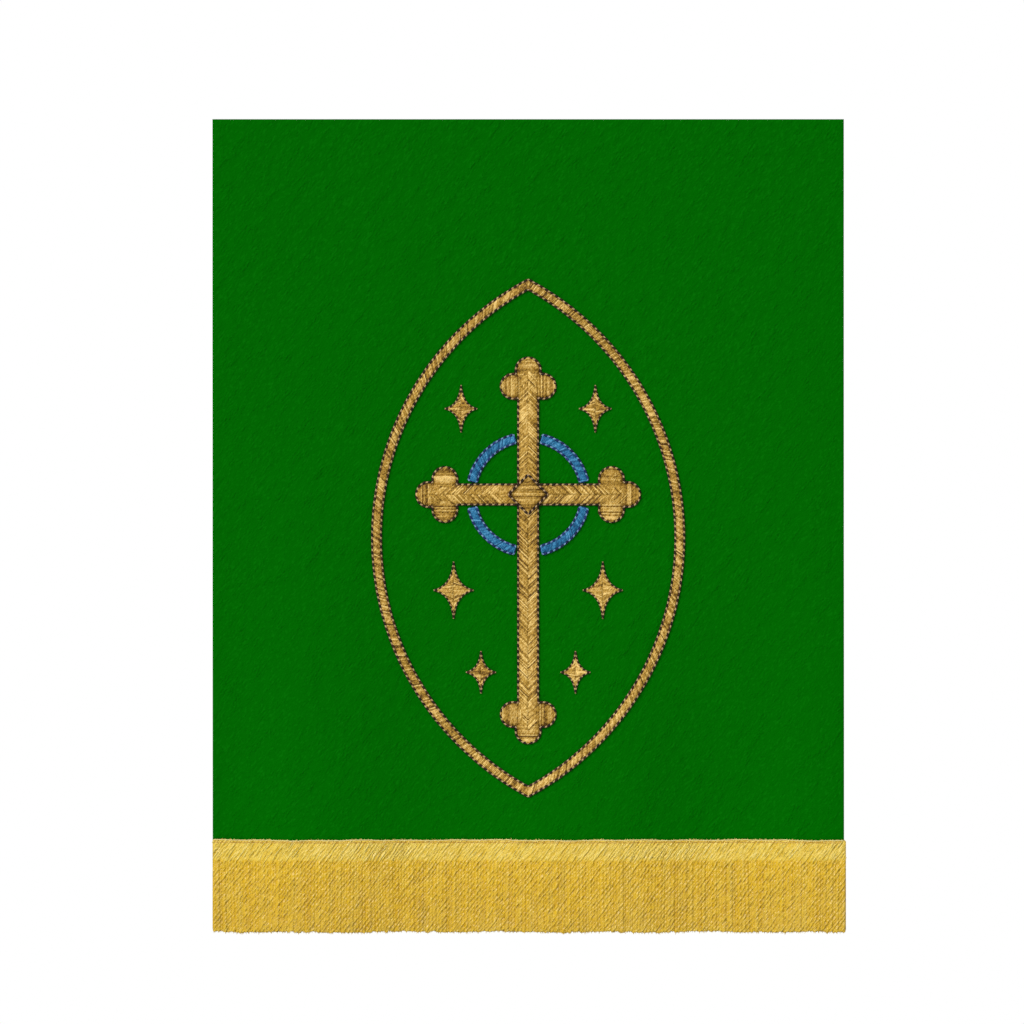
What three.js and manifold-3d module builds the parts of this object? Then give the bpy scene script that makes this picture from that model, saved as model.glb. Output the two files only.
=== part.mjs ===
// A lectern fall: a hung panel of green cloth, a sewn-on device in gold and blue, and a gold fringe.
// Millimetres, +Z up. The origin is the middle of the panel's top edge, +X runs along that edge to the
// viewer's right, and the face looks to -Y.

import * as THREE from "three";
import { mergeVertices } from "three/addons/utils/BufferGeometryUtils.js";
import Module from "manifold-3d";

const wasm = await Module();
wasm.setup();

// Panel: one sheet of cloth, with its four edges turned to the back as hems
const PANEL_WIDTH = 508;
const PANEL_DROP = 594;
const CLOTH_THICKNESS = 2;
const HEM_WIDTH = 24;
const HEM_STEP = 0.9;
const HEM_SLOPE = 1.5;

// Pieces that are sewn on lie this far off the cloth
const SEWN_GAP = 0.3;

// Fringe: a woven heading on the face of the hem, and a skirt of strands that hangs from it
const FRINGE_OVERHANG = 1.4;
const HEADING_TOP_DROP = 580;
const HEADING_HEIGHT = 16;
const HEADING_THICKNESS = 2.6;
const SKIRT_LENGTH = 58;
const STRAND_COUNT = 230;
const STRAND_WIDTH = 1.7;
const STRAND_DEPTH = 1.6;
const STRAND_ROOT = 6;
const STRAND_STAGGER = 0.3;
const TIP_GIRTH = 0.8;
const MIDDLE_SWAY = 0.4;
const FRINGE_LEFT = -PANEL_WIDTH / 2;
const FRINGE_RIGHT = PANEL_WIDTH / 2 + FRINGE_OVERHANG;
const HEADING_BOTTOM_DROP = HEADING_TOP_DROP + HEADING_HEIGHT;
const FALL_DROP = HEADING_BOTTOM_DROP + SKIRT_LENGTH;

// Slow sideways lean of the strands, as waves along the fringe
const LEAN_WAVES = [
  { height: 1.1, length: 145, shift: 0 },
  { height: 0.66, length: 60, shift: 1 },
];

// Uneven cut ends of the strands, as waves whose length is a number of strands
const END_WAVES = [
  { height: 1.2, length: 2.73, shift: 0 },
  { height: 0.9, length: 15.3, shift: 0 },
];

// Device: a pointed oval band around a cross with trefoil ends, a ring behind its crossing, and small stars
const DEVICE_DROP = 337;
const DEVICE_THICKNESS = 1.9;
const OVAL = { halfWidth: 122, halfHeight: 204, band: 7 };
const CROSS = { above: 110, below: 200, reach: 90, raise: 35, bar: 16 };
const LOBE = { radius: 10, spread: 12, back: 13 };
const RING = { radius: 46, band: 7, clear: 2 };
const STAR_WAIST = 0.12;
const STARS = [
  { across: 54, up: 104, halfWidth: 13, halfHeight: 19 },
  { across: 60, up: -42, halfWidth: 16, halfHeight: 23 },
  { across: 38, up: -108, halfWidth: 12, halfHeight: 17 },
];
const CURVE_STEPS = { oval: 24, lobe: 10, ring: 12, star: 6 };

// Soft folds of the hanging cloth: where each one lies across the panel, how far it reaches to either side,
// how far it swells towards the viewer at the foot of the fall, and the drop where it starts.
const FOLDS = [
  { across: -240, reach: 62, swell: -4.5, starts: 90 },
  { across: -168, reach: 82, swell: 6.5, starts: 110 },
  { across: -62, reach: 84, swell: -3.5, starts: 230 },
  { across: 48, reach: 98, swell: 4.5, starts: 250 },
  { across: 152, reach: 80, swell: -5.0, starts: 150 },
  { across: 240, reach: 62, swell: 5.5, starts: 120 },
];

// Grid that the cloth and what is sewn to it share, so that they bend alike
const COLUMN_COUNT = 36;
const ROW_COUNT = 14;

const FINISHES = {
  cloth: { color: 0x006400, roughness: 0.85, metalness: 0 },
  fringe: { color: 0xd2ab40, roughness: 0.6, metalness: 0 },
  gold: { color: 0xb89050, roughness: 0.5, metalness: 0 },
  blue: { color: 0x3a78b4, roughness: 0.5, metalness: 0 },
};

// Depth of the cloth's middle surface. It is flat along the top edge, and the folds grow towards the foot.
function hang(across, drop) {
  let towardsViewer = 0;
  for (const fold of FOLDS) {
    const share = (across - fold.across) / fold.reach;
    if (Math.abs(share) < 1) {
      const growth = THREE.MathUtils.smoothstep(drop, fold.starts, FALL_DROP);
      towardsViewer += fold.swell * growth * 0.5 * (1 + Math.cos(Math.PI * share));
    }
  }
  return -towardsViewer;
}

// Evenly spaced values from first to last
function spread(first, last, count) {
  return Array.from({ length: count + 1 }, (_, i) => first + ((last - first) * i) / count);
}

// A closed sheet over a grid of columns (places across) and rows (drops), between two depths
function sheetGeometry(columns, rows, frontDepth, backDepth) {
  const points = [];
  for (const depth of [frontDepth, backDepth]) {
    for (const drop of rows) {
      for (const across of columns) points.push(across, depth(across, drop), -drop);
    }
  }
  const width = columns.length;
  const backStart = width * rows.length;
  const at = (column, row) => row * width + column;
  const triangles = [];
  const addQuad = (a, b, c, d) => triangles.push(a, b, c, a, c, d);
  const lastColumn = width - 1;
  const lastRow = rows.length - 1;
  for (let row = 0; row < lastRow; row += 1) {
    for (let column = 0; column < lastColumn; column += 1) {
      const corners = [at(column, row), at(column, row + 1), at(column + 1, row + 1), at(column + 1, row)];
      addQuad(...corners);
      const [topLeft, lowLeft, lowRight, topRight] = corners.map((corner) => corner + backStart);
      triangles.push(topLeft, lowRight, lowLeft, topLeft, topRight, lowRight);
    }
  }
  const addWall = (from, to) => addQuad(from, to, to + backStart, from + backStart);
  for (let column = 0; column < lastColumn; column += 1) {
    addWall(at(column, 0), at(column + 1, 0));
    addWall(at(column + 1, lastRow), at(column, lastRow));
  }
  for (let row = 0; row < lastRow; row += 1) {
    addWall(at(0, row + 1), at(0, row));
    addWall(at(lastColumn, row), at(lastColumn, row + 1));
  }
  const geometry = new THREE.BufferGeometry();
  geometry.setAttribute("position", new THREE.Float32BufferAttribute(points, 3));
  geometry.setIndex(triangles);
  return geometry;
}

// A geometry as a solid that can be joined and cut
function solidOf(geometry) {
  const bare = geometry.clone();
  bare.deleteAttribute("normal");
  bare.deleteAttribute("uv");
  const merged = mergeVertices(bare, 1e-4);
  const vertProperties = new Float32Array(merged.attributes.position.array);
  const triVerts = new Uint32Array(merged.index.array);
  return new wasm.Manifold(new wasm.Mesh({ numProp: 3, vertProperties, triVerts }));
}

// A solid as a geometry again
function geometryOf(solid) {
  const mesh = solid.getMesh();
  const geometry = new THREE.BufferGeometry();
  geometry.setAttribute("position", new THREE.BufferAttribute(new Float32Array(mesh.vertProperties), 3));
  geometry.setIndex(new THREE.BufferAttribute(new Uint32Array(mesh.triVerts), 1));
  return geometry;
}

// How much of the hem's step a place on the back has: 1 on the turned edge, 0 inside it
function hemShare(across, drop) {
  const fromEdge = Math.min(PANEL_WIDTH / 2 - Math.abs(across), drop, PANEL_DROP - drop);
  return 1 - THREE.MathUtils.clamp((fromEdge - HEM_WIDTH) / HEM_SLOPE, 0, 1);
}

const innerColumn = PANEL_WIDTH / 2 - HEM_WIDTH - HEM_SLOPE;
const innerTop = HEM_WIDTH + HEM_SLOPE;
const innerFoot = PANEL_DROP - innerTop;
const hemColumns = spread(PANEL_WIDTH / 2, PANEL_WIDTH / 2 - HEM_WIDTH, 2);
const PANEL_COLUMNS = [
  ...hemColumns.map((across) => -across),
  ...spread(-innerColumn, innerColumn, COLUMN_COUNT),
  ...hemColumns.toReversed(),
];
const innerRows = spread(innerTop, innerFoot, ROW_COUNT);
const PANEL_ROWS = [0, HEM_WIDTH, ...innerRows, PANEL_DROP - HEM_WIDTH, PANEL_DROP];

const frontOfCloth = (across, drop) => hang(across, drop) - CLOTH_THICKNESS / 2;

function panelGeometry() {
  const back = (across, drop) => hang(across, drop) + CLOTH_THICKNESS / 2 + HEM_STEP * hemShare(across, drop);
  return sheetGeometry(PANEL_COLUMNS, PANEL_ROWS, frontOfCloth, back);
}

// A layer of the given thickness that lies on the face of the cloth
function layerOnCloth(columns, rows, thickness) {
  const back = (across, drop) => frontOfCloth(across, drop) - SEWN_GAP;
  const front = (across, drop) => back(across, drop) - thickness;
  return solidOf(sheetGeometry(columns, rows, front, back));
}

// A four-sided strand through a list of rings, from its root to its tip
function strandTriangles(rings, points, triangles) {
  const start = points.length / 3;
  const sides = 4;
  for (const ring of rings) {
    points.push(ring.x - ring.halfWidth, ring.y, ring.z, ring.x, ring.y - ring.halfDepth, ring.z);
    points.push(ring.x + ring.halfWidth, ring.y, ring.z, ring.x, ring.y + ring.halfDepth, ring.z);
  }
  for (let step = 0; step < rings.length - 1; step += 1) {
    for (let side = 0; side < sides; side += 1) {
      const upper = start + step * sides + side;
      const upperNext = start + step * sides + ((side + 1) % sides);
      triangles.push(upper, upper + sides, upperNext + sides, upper, upperNext + sides, upperNext);
    }
  }
  const tip = start + (rings.length - 1) * sides;
  triangles.push(start, start + 1, start + 2, start, start + 2, start + 3);
  triangles.push(tip, tip + 2, tip + 1, tip, tip + 3, tip + 2);
}

// Sum of waves at a place
function waveSum(waves, place) {
  const height = (wave) => wave.height * Math.sin((2 * Math.PI * place) / wave.length + wave.shift);
  return waves.reduce((sum, wave) => sum + height(wave), 0);
}

function skirtSolid() {
  const points = [];
  const triangles = [];
  const pitch = (FRINGE_RIGHT - FRINGE_LEFT) / STRAND_COUNT;
  const headingMiddle = CLOTH_THICKNESS / 2 + SEWN_GAP + HEADING_THICKNESS / 2;
  for (let index = 0; index < STRAND_COUNT; index += 1) {
    const across = FRINGE_LEFT + pitch * (index + 0.5);
    const stagger = index % 2 ? STRAND_STAGGER : -STRAND_STAGGER;
    const ring = (drop, swayShare, girth) => ({
      x: across + waveSum(LEAN_WAVES, across) * swayShare,
      y: hang(across, drop) - headingMiddle + stagger,
      z: -drop,
      halfWidth: (STRAND_WIDTH / 2) * girth,
      halfDepth: (STRAND_DEPTH / 2) * girth,
    });
    const root = ring(HEADING_BOTTOM_DROP - STRAND_ROOT, 0, 1);
    const middle = ring(HEADING_BOTTOM_DROP + SKIRT_LENGTH / 2, MIDDLE_SWAY, 1);
    const tip = ring(FALL_DROP + waveSum(END_WAVES, index), 1, TIP_GIRTH);
    strandTriangles([root, middle, tip], points, triangles);
  }
  const geometry = new THREE.BufferGeometry();
  geometry.setAttribute("position", new THREE.Float32BufferAttribute(points, 3));
  geometry.setIndex(triangles);
  return solidOf(geometry);
}

function fringeGeometry() {
  const inner = PANEL_COLUMNS.filter((across) => Math.abs(across) < PANEL_WIDTH / 2);
  const columns = [FRINGE_LEFT, ...inner, FRINGE_RIGHT];
  const rows = [HEADING_TOP_DROP, HEADING_BOTTOM_DROP];
  return geometryOf(layerOnCloth(columns, rows, HEADING_THICKNESS).add(skirtSolid()));
}

// Outlines of the device, measured across and up from its centre, and cut out of one layer on the cloth
const deviceLayer = layerOnCloth(PANEL_COLUMNS, PANEL_ROWS, DEVICE_THICKNESS);
const CUTTER_DEPTH = 60;

function cutterOf(shape, curveSegments) {
  const settings = { depth: CUTTER_DEPTH, bevelEnabled: false, curveSegments };
  const geometry = new THREE.ExtrudeGeometry(shape, settings);
  geometry.rotateX(Math.PI / 2);
  geometry.translate(0, CUTTER_DEPTH / 2, -DEVICE_DROP);
  return solidOf(geometry);
}

const onCloth = (cutter) => geometryOf(deviceLayer.intersect(cutter));

// One pointed oval: two arcs about centres to either side, meeting in a point above and below
function pointedOval(offset, PathClass) {
  const radius = (OVAL.halfWidth ** 2 + OVAL.halfHeight ** 2) / (2 * OVAL.halfWidth);
  const centre = radius - OVAL.halfWidth;
  const arcRadius = radius + offset;
  const half = Math.acos(centre / arcRadius);
  const path = new PathClass();
  path.absarc(-centre, 0, arcRadius, -half, half, false);
  path.absarc(centre, 0, arcRadius, Math.PI - half, Math.PI + half, false);
  return path;
}

function ovalGeometry() {
  const outline = pointedOval(OVAL.band / 2, THREE.Shape);
  outline.holes.push(pointedOval(-OVAL.band / 2, THREE.Path));
  return onCloth(cutterOf(outline, CURVE_STEPS.oval));
}

function rectangle(left, right, low, high) {
  const shape = new THREE.Shape();
  shape.moveTo(left, low);
  shape.lineTo(right, low);
  shape.lineTo(right, high);
  shape.lineTo(left, high);
  shape.closePath();
  return shape;
}

function disc(across, up, radius) {
  const shape = new THREE.Shape();
  shape.absarc(across, up, radius, 0, 2 * Math.PI, false);
  return shape;
}

// Three round lobes at the end of an arm that runs from the crossing in the given direction
function trefoil(direction, length) {
  const sideways = new THREE.Vector2(-direction.y, direction.x);
  const lobeCentres = [
    direction.clone().multiplyScalar(length - LOBE.radius),
    ...[-1, 1].map((side) =>
      direction
        .clone()
        .multiplyScalar(length - LOBE.radius - LOBE.back)
        .addScaledVector(sideways, side * LOBE.spread),
    ),
  ];
  const lobe = (centre) => disc(centre.x, centre.y + CROSS.raise, LOBE.radius);
  return lobeCentres.map((centre) => cutterOf(lobe(centre), CURVE_STEPS.lobe));
}

function crossGeometry() {
  const halfBar = CROSS.bar / 2;
  const armEnd = CROSS.reach - LOBE.radius;
  const arms = [
    [new THREE.Vector2(0, 1), CROSS.above],
    [new THREE.Vector2(0, -1), CROSS.below],
    [new THREE.Vector2(1, 0), CROSS.reach],
    [new THREE.Vector2(-1, 0), CROSS.reach],
  ];
  const low = CROSS.raise - CROSS.below + LOBE.radius;
  const high = CROSS.raise + CROSS.above - LOBE.radius;
  const upright = cutterOf(rectangle(-halfBar, halfBar, low, high), 1);
  const beam = cutterOf(rectangle(-armEnd, armEnd, CROSS.raise - halfBar, CROSS.raise + halfBar), 1);
  const lobes = arms.flatMap(([direction, length]) => trefoil(direction, length));
  return onCloth(lobes.reduce((whole, lobe) => whole.add(lobe), upright.add(beam)));
}

// One quarter of the ring, between two arms of the cross
function ringGeometry(quarter) {
  const clearAngle = Math.asin((CROSS.bar / 2 + RING.clear) / (RING.radius - RING.band / 2));
  const from = (quarter * Math.PI) / 2 + clearAngle;
  const to = ((quarter + 1) * Math.PI) / 2 - clearAngle;
  const shape = new THREE.Shape();
  shape.absarc(0, CROSS.raise, RING.radius + RING.band / 2, from, to, false);
  shape.absarc(0, CROSS.raise, RING.radius - RING.band / 2, to, from, true);
  return onCloth(cutterOf(shape, CURVE_STEPS.ring));
}

// A star of four points with hollow sides
function starGeometry(star, side) {
  const across = star.across * side;
  const shape = new THREE.Shape();
  shape.moveTo(across + star.halfWidth, star.up);
  for (const [alongX, alongY] of [[0, 1], [-1, 0], [0, -1], [1, 0]]) {
    const toX = across + alongX * star.halfWidth;
    const toY = star.up + alongY * star.halfHeight;
    const from = shape.currentPoint;
    const waistX = across + (from.x + toX - 2 * across) * STAR_WAIST;
    const waistY = star.up + (from.y + toY - 2 * star.up) * STAR_WAIST;
    shape.quadraticCurveTo(waistX, waistY, toX, toY);
  }
  return onCloth(cutterOf(shape, CURVE_STEPS.star));
}

const fall = new THREE.Group();
fall.name = "lectern_fall";

function addPiece(name, geometry, finish) {
  geometry.computeVertexNormals();
  const mesh = new THREE.Mesh(geometry, new THREE.MeshStandardMaterial(finish));
  mesh.name = name;
  fall.add(mesh);
}

addPiece("panel", panelGeometry(), FINISHES.cloth);
addPiece("fringe", fringeGeometry(), FINISHES.fringe);
addPiece("oval_band", ovalGeometry(), FINISHES.gold);
addPiece("cross", crossGeometry(), FINISHES.gold);
for (let quarter = 0; quarter < 4; quarter += 1) {
  addPiece(`ring_${quarter + 1}`, ringGeometry(quarter), FINISHES.blue);
}
STARS.forEach((star, index) => {
  addPiece(`star_left_${index + 1}`, starGeometry(star, -1), FINISHES.gold);
  addPiece(`star_right_${index + 1}`, starGeometry(star, 1), FINISHES.gold);
});

export default fall;
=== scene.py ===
"""Looks of a lectern fall: a panel of green cloth, a device in gold and blue thread, and a gold fringe.

Shapes are worked out in millimetres, and become metres when a piece is made. A place on the cloth is
given across its width, from the middle, and by its drop below the top edge. The face looks to -Y.
"""

import math
from collections import namedtuple
from types import SimpleNamespace as Values

import bpy
import numpy as np
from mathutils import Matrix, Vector


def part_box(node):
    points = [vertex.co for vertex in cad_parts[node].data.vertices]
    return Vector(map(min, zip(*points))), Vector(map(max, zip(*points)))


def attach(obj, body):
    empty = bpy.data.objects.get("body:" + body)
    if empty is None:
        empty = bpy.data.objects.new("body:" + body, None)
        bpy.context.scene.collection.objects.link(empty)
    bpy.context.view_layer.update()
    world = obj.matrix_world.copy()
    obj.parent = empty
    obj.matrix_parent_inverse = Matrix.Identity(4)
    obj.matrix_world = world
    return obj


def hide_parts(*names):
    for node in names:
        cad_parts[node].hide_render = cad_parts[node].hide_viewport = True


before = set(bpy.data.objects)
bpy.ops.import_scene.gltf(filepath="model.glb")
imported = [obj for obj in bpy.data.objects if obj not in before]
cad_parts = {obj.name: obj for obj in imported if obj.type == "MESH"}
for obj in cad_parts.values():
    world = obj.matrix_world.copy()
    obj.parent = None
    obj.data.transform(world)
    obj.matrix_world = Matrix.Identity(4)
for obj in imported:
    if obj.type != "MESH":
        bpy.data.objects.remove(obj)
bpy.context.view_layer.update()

MM = 0.001
SEED = 11
chance = np.random.default_rng(SEED)

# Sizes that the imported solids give
panel_low, panel_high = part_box("panel")
fringe_low, fringe_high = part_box("fringe")
PANEL_WIDTH = (panel_high.x - panel_low.x) / MM
PANEL_DROP = -panel_low.z / MM
FRINGE_LEFT = fringe_low.x / MM
FRINGE_RIGHT = fringe_high.x / MM
HEADING_TOP = -fringe_high.z / MM

# Main sizes of the cloth and the fringe
CLOTH_THICKNESS = 2.0
HEADING_HEIGHT = 16
SKIRT_LENGTH = 58
HEADING_BOTTOM = HEADING_TOP + HEADING_HEIGHT
FALL_DROP = HEADING_BOTTOM + SKIRT_LENGTH

# Soft folds, as in the solids: place across, reach to either side, swell towards the viewer, and first drop
Fold = namedtuple("Fold", "across reach swell starts")
FOLDS = (
    Fold(-240, 62, -4.5, 90),
    Fold(-168, 82, 6.5, 110),
    Fold(-62, 84, -3.5, 230),
    Fold(48, 98, 4.5, 250),
    Fold(152, 80, -5.0, 150),
    Fold(240, 62, 5.5, 120),
)

# A wave has a height, its lengths across the fall and down it, and a shift in radians
Wave = namedtuple("Wave", "height across down shift", defaults=(math.inf, 0))

# Slight unevenness of handled cloth, in full below a flat top
WAVES = (Wave(0.22, 173, 391), Wave(0.16, -97, 214, 1.7), Wave(0.10, 61, 143, 3.4))
FLAT_TOP = 80

TOWARDS_VIEWER = np.array([0.0, -1.0, 0.0])
TO_THE_RIGHT = np.array([1.0, 0.0, 0.0])

# Sections of threads: the share of its radius at each corner
FOUR_SIDED = (1, 1, 1, 1)
SIX_SIDED = (1, 1, 1, 1, 1, 1)
THREE_PLY = (1, 0.65) * 3
FOUR_PLY = (1, 0.87) * 4

# Shade of a thread that is neither darker nor paler than its kind
MIDDLE_SHADE = 0.5


# How the cloth hangs

def smoothstep(value, start, end):
    share = np.clip((value - start) / (end - start), 0, 1)
    return share * share * (3 - 2 * share)


def wave_sum(waves, across, drop=0):
    """Sum of waves at places on the fall."""
    turns = [2 * np.pi * (across / w.across + drop / w.down) + w.shift for w in waves]
    return sum(w.height * np.sin(turn) for w, turn in zip(waves, turns))


def hang(across, drop):
    """Depth of the cloth's middle surface: flat along the top, with folds that grow towards the foot."""
    depth = wave_sum(WAVES, across, drop) * smoothstep(drop, 0, FLAT_TOP)
    for fold in FOLDS:
        share = np.clip((across - fold.across) / fold.reach, -1, 1)
        growth = smoothstep(drop, fold.starts, FALL_DROP)
        depth = depth - fold.swell * growth * (1 + np.cos(np.pi * share)) / 2
    return depth


def stacked(*coordinates):
    """Points from their coordinates, any of which may be one number for all."""
    return np.stack(np.broadcast_arrays(*coordinates), axis=-1)


def on_face(across, drop, lift):
    """Points that stand the given lift off the face of the cloth."""
    return stacked(across, hang(across, drop) - CLOTH_THICKNESS / 2 - lift, -drop)


# Making of meshes from arrays

def quads(*corners):
    return np.stack(corners, axis=-1).reshape(-1, 4)


def closed_grid(front, back):
    """A closed sheet between two grids of points, each rows by columns by 3, as its points and faces."""
    rows, columns = front.shape[:2]
    size = rows * columns
    points = np.concatenate([front.reshape(-1, 3), back.reshape(-1, 3)])
    at = np.arange(size).reshape(rows, columns)
    behind = at + size
    rim = np.concatenate([at[0, :-1], at[:-1, -1], at[-1, :0:-1], at[:0:-1, 0]])
    following = np.roll(rim, -1)
    faces = np.concatenate([
        quads(at[:-1, :-1], at[1:, :-1], at[1:, 1:], at[:-1, 1:]),
        quads(behind[:-1, :-1], behind[:-1, 1:], behind[1:, 1:], behind[1:, :-1]),
        quads(rim, following, following + size, rim + size),
    ])
    corners = points[faces]
    normals = np.cross(corners[:, 2] - corners[:, 0], corners[:, 3] - corners[:, 1])
    volume = np.sum(normals * (corners.mean(axis=1) - points.mean(axis=0)))
    return points, (faces if volume > 0 else faces[:, ::-1])


def frames(centres, facing=TOWARDS_VIEWER):
    """Unit vectors across and out from lines of points, the second one as near to facing as it can be."""
    along = np.gradient(centres, axis=-2)
    side = np.cross(facing, along)
    side = side / np.linalg.norm(side, axis=-1, keepdims=True)
    out = np.cross(along, side)
    return side, out / np.linalg.norm(out, axis=-1, keepdims=True)


def sweep(centres, across, up, section):
    """Closed tubes, as their points and faces. The arrays are tubes by steps by 3.

    across and up reach from the centre to the skin, and across turned towards up is a right-hand turn
    about the way the tube runs. section gives a share of that reach for each corner round the tube.
    """
    angles = corner_angles(section)[:, None]
    spokes = np.cos(angles) * across[:, :, None] + np.sin(angles) * up[:, :, None]
    return skinned(centres[:, :, None] + np.array(section)[:, None] * spokes)


def threads(centres, size, section=FOUR_SIDED, facing=TOWARDS_VIEWER):
    """Tubes along lines of points, with the half width and half height in size."""
    side, out = frames(centres, facing)
    return sweep(centres, size.half_width * side, size.half_height * out, section)


def corner_angles(section):
    return 2 * np.pi * np.arange(len(section)) / len(section)


def skinned(rings):
    """Closed tubes through rings of points, tubes by steps by corners by 3, as their points and faces."""
    sides = rings.shape[2]
    at = np.arange(rings[..., 0].size).reshape(rings.shape[:3])
    beside = np.roll(at, -1, axis=2)
    first = at[:, 0]
    last = at[:, -1]
    faces = [quads(at[:, :-1], beside[:, :-1], beside[:, 1:], at[:, 1:])]
    for side in range(1, sides - 2, 2):
        faces.append(quads(first[:, 0], first[:, side + 2], first[:, side + 1], first[:, side]))
        faces.append(quads(last[:, 0], last[:, side], last[:, side + 1], last[:, side + 2]))
    return rings.reshape(-1, 3), np.concatenate(faces)


class Heap:
    """Many small closed parts that become one mesh, with a shade at each point and a finish on each face."""

    def __init__(self):
        self.points = []
        self.faces = []
        self.shades = []
        self.finishes = []
        self.size = 0

    def add(self, part, finish=0, shade=MIDDLE_SHADE):
        """Adds points and faces. shade is one number, or one for each tube or ring, in their order."""
        points, faces = part
        shade = np.ravel(shade)
        self.points.append(points)
        self.faces.append(faces + self.size)
        self.shades.append(np.repeat(shade, len(points) // len(shade)))
        self.finishes.append(np.full(len(faces), finish))
        self.size += len(points)

    def make(self, name, node, slot, finishes):
        """The piece that stands for a node of the solids."""
        mesh = bpy.data.meshes.new(name)
        points = np.concatenate(self.points) * MM
        mesh.from_pydata(points.tolist(), [], np.concatenate(self.faces).tolist())
        for finish in finishes:
            mesh.materials.append(finish)
        mesh.polygons.foreach_set("material_index", np.concatenate(self.finishes).astype(np.int32))
        shade = mesh.attributes.new("shade", "FLOAT", "POINT")
        shade.data.foreach_set("value", np.concatenate(self.shades).astype(np.float32))
        mesh.shade_smooth()
        mesh.update()
        piece = bpy.data.objects.new(name, mesh)
        bpy.context.scene.collection.objects.link(piece)
        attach(piece, "root")
        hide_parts(node)
        return piece


# Finishes

# A wave texture of scale 1 makes this many radians of wave to a unit of length
WAVE_TEXTURE_RADIANS = 20


def linear(red, green, blue):
    """The light that a shader takes for a colour as the eye sees it, 0 to 255, by the sRGB formula."""
    channels = np.array([red, green, blue]) / 255
    light = np.where(channels <= 0.04045, channels / 12.92, ((channels + 0.055) / 1.055) ** 2.4)
    return (*light.tolist(), 1.0)


class Finish:
    """A node material with one main shader, built up step by step. Sizes in it are in millimetres."""

    def __init__(self, name, roughness, gloss, sheen=0.0):
        self.material = bpy.data.materials.new(name)
        self.material.use_nodes = True
        self.tree = self.material.node_tree
        self.shader = self.tree.nodes["Principled BSDF"]
        self.shader.inputs["Roughness"].default_value = roughness
        self.shader.inputs["Specular IOR Level"].default_value = gloss
        self.shader.inputs["Sheen Weight"].default_value = sheen
        self.coordinates = self.node("ShaderNodeTexCoord").outputs["Object"]

    def node(self, kind, inputs=None, **settings):
        """A new node. Each input that is given takes a link from another node, or a plain value."""
        node = self.tree.nodes.new(kind)
        for name, value in settings.items():
            setattr(node, name, value)
        for name, value in (inputs or {}).items():
            if isinstance(value, bpy.types.NodeSocket):
                self.tree.links.new(value, node.inputs[name])
            else:
                node.inputs[name].default_value = value
        return node

    def mapped(self, scale, tilt):
        """Coordinates with a scale for x, y and z, turned about Y by tilt degrees."""
        inputs = {
            "Vector": self.coordinates,
            "Scale": [size * MM for size in scale],
            "Rotation": (0, math.radians(tilt), 0),
        }
        return self.node("ShaderNodeMapping", inputs, vector_type="TEXTURE").outputs["Vector"]

    def noise(self, grain, tilt=0.0, detail=3.0, roughness=0.5):
        """Noise whose grains have the given size along x, y and z, turned about Y by tilt degrees."""
        inputs = {"Vector": self.mapped(grain, tilt), "Scale": 1.0, "Detail": detail, "Roughness": roughness}
        return self.node("ShaderNodeTexNoise", inputs).outputs["Fac"]

    def ribs(self, pitch, tilt, unevenness=0.0):
        """Ribs that run up the cloth, turned about Y by tilt degrees. unevenness is in radians of a rib."""
        scale = WAVE_TEXTURE_RADIANS * pitch / (2 * math.pi)
        vector = self.mapped((scale, scale, scale), tilt)
        inputs = {"Vector": vector, "Scale": 1.0, "Distortion": unevenness, "Detail": 1.0}
        return self.node("ShaderNodeTexWave", inputs).outputs["Fac"]

    def shade(self):
        """The shade that each point of the mesh carries."""
        return self.node("ShaderNodeAttribute", attribute_name="shade").outputs["Fac"]

    def product(self, first, second):
        """One value times another."""
        return self.node("ShaderNodeMath", {0: first, 1: second}, operation="MULTIPLY").outputs[0]

    def mixed(self, first, second, share):
        """A weighted sum of two values, with the given share of the second."""
        inputs = {0: second, 1: share, 2: self.product(first, 1 - share)}
        return self.node("ShaderNodeMath", inputs, operation="MULTIPLY_ADD").outputs[0]

    def ranged(self, value, start, end):
        """A value that goes from 0 to 1 as another one goes from start to end."""
        inputs = {"Value": value, "From Min": start, "From Max": end}
        return self.node("ShaderNodeMapRange", inputs).outputs["Result"]

    def down(self, top, foot):
        """A value that grows from 0 to 1 between two drops below the cloth's top edge."""
        height = self.node("ShaderNodeSeparateXYZ", {0: self.coordinates}).outputs["Z"]
        return self.ranged(height, -top * MM, -foot * MM)

    def colours(self, value, stops):
        """Base colour from a value, through stops of a tone from 0 to 1 and a colour as the eye sees it."""
        ramp = self.node("ShaderNodeValToRGB", {"Fac": value})
        elements = ramp.color_ramp.elements
        while len(elements) < len(stops):
            elements.new(0.5)
        for element, (tone, colour) in zip(elements, stops):
            element.position = tone
            element.color = linear(*colour)
        self.tree.links.new(ramp.outputs["Color"], self.shader.inputs["Base Color"])

    def tint(self, share, colour):
        """Another base colour, as the eye sees it, by a share that varies."""
        base = self.shader.inputs["Base Color"]
        inputs = {"Fac": share, "Color1": base.links[0].from_socket, "Color2": linear(*colour)}
        self.tree.links.new(self.node("ShaderNodeMixRGB", inputs).outputs["Color"], base)

    def bump(self, value, height):
        """Relief of the given height, on top of any relief made before."""
        normal = self.shader.inputs["Normal"]
        inputs = {"Height": value, "Strength": 1.0, "Distance": height * MM}
        if normal.links:
            inputs["Normal"] = normal.links[0].from_socket
        self.tree.links.new(self.node("ShaderNodeBump", inputs).outputs["Normal"], normal)


# Slant of grain and weave, from upright, in degrees
GRAIN_TILT = 37

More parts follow.
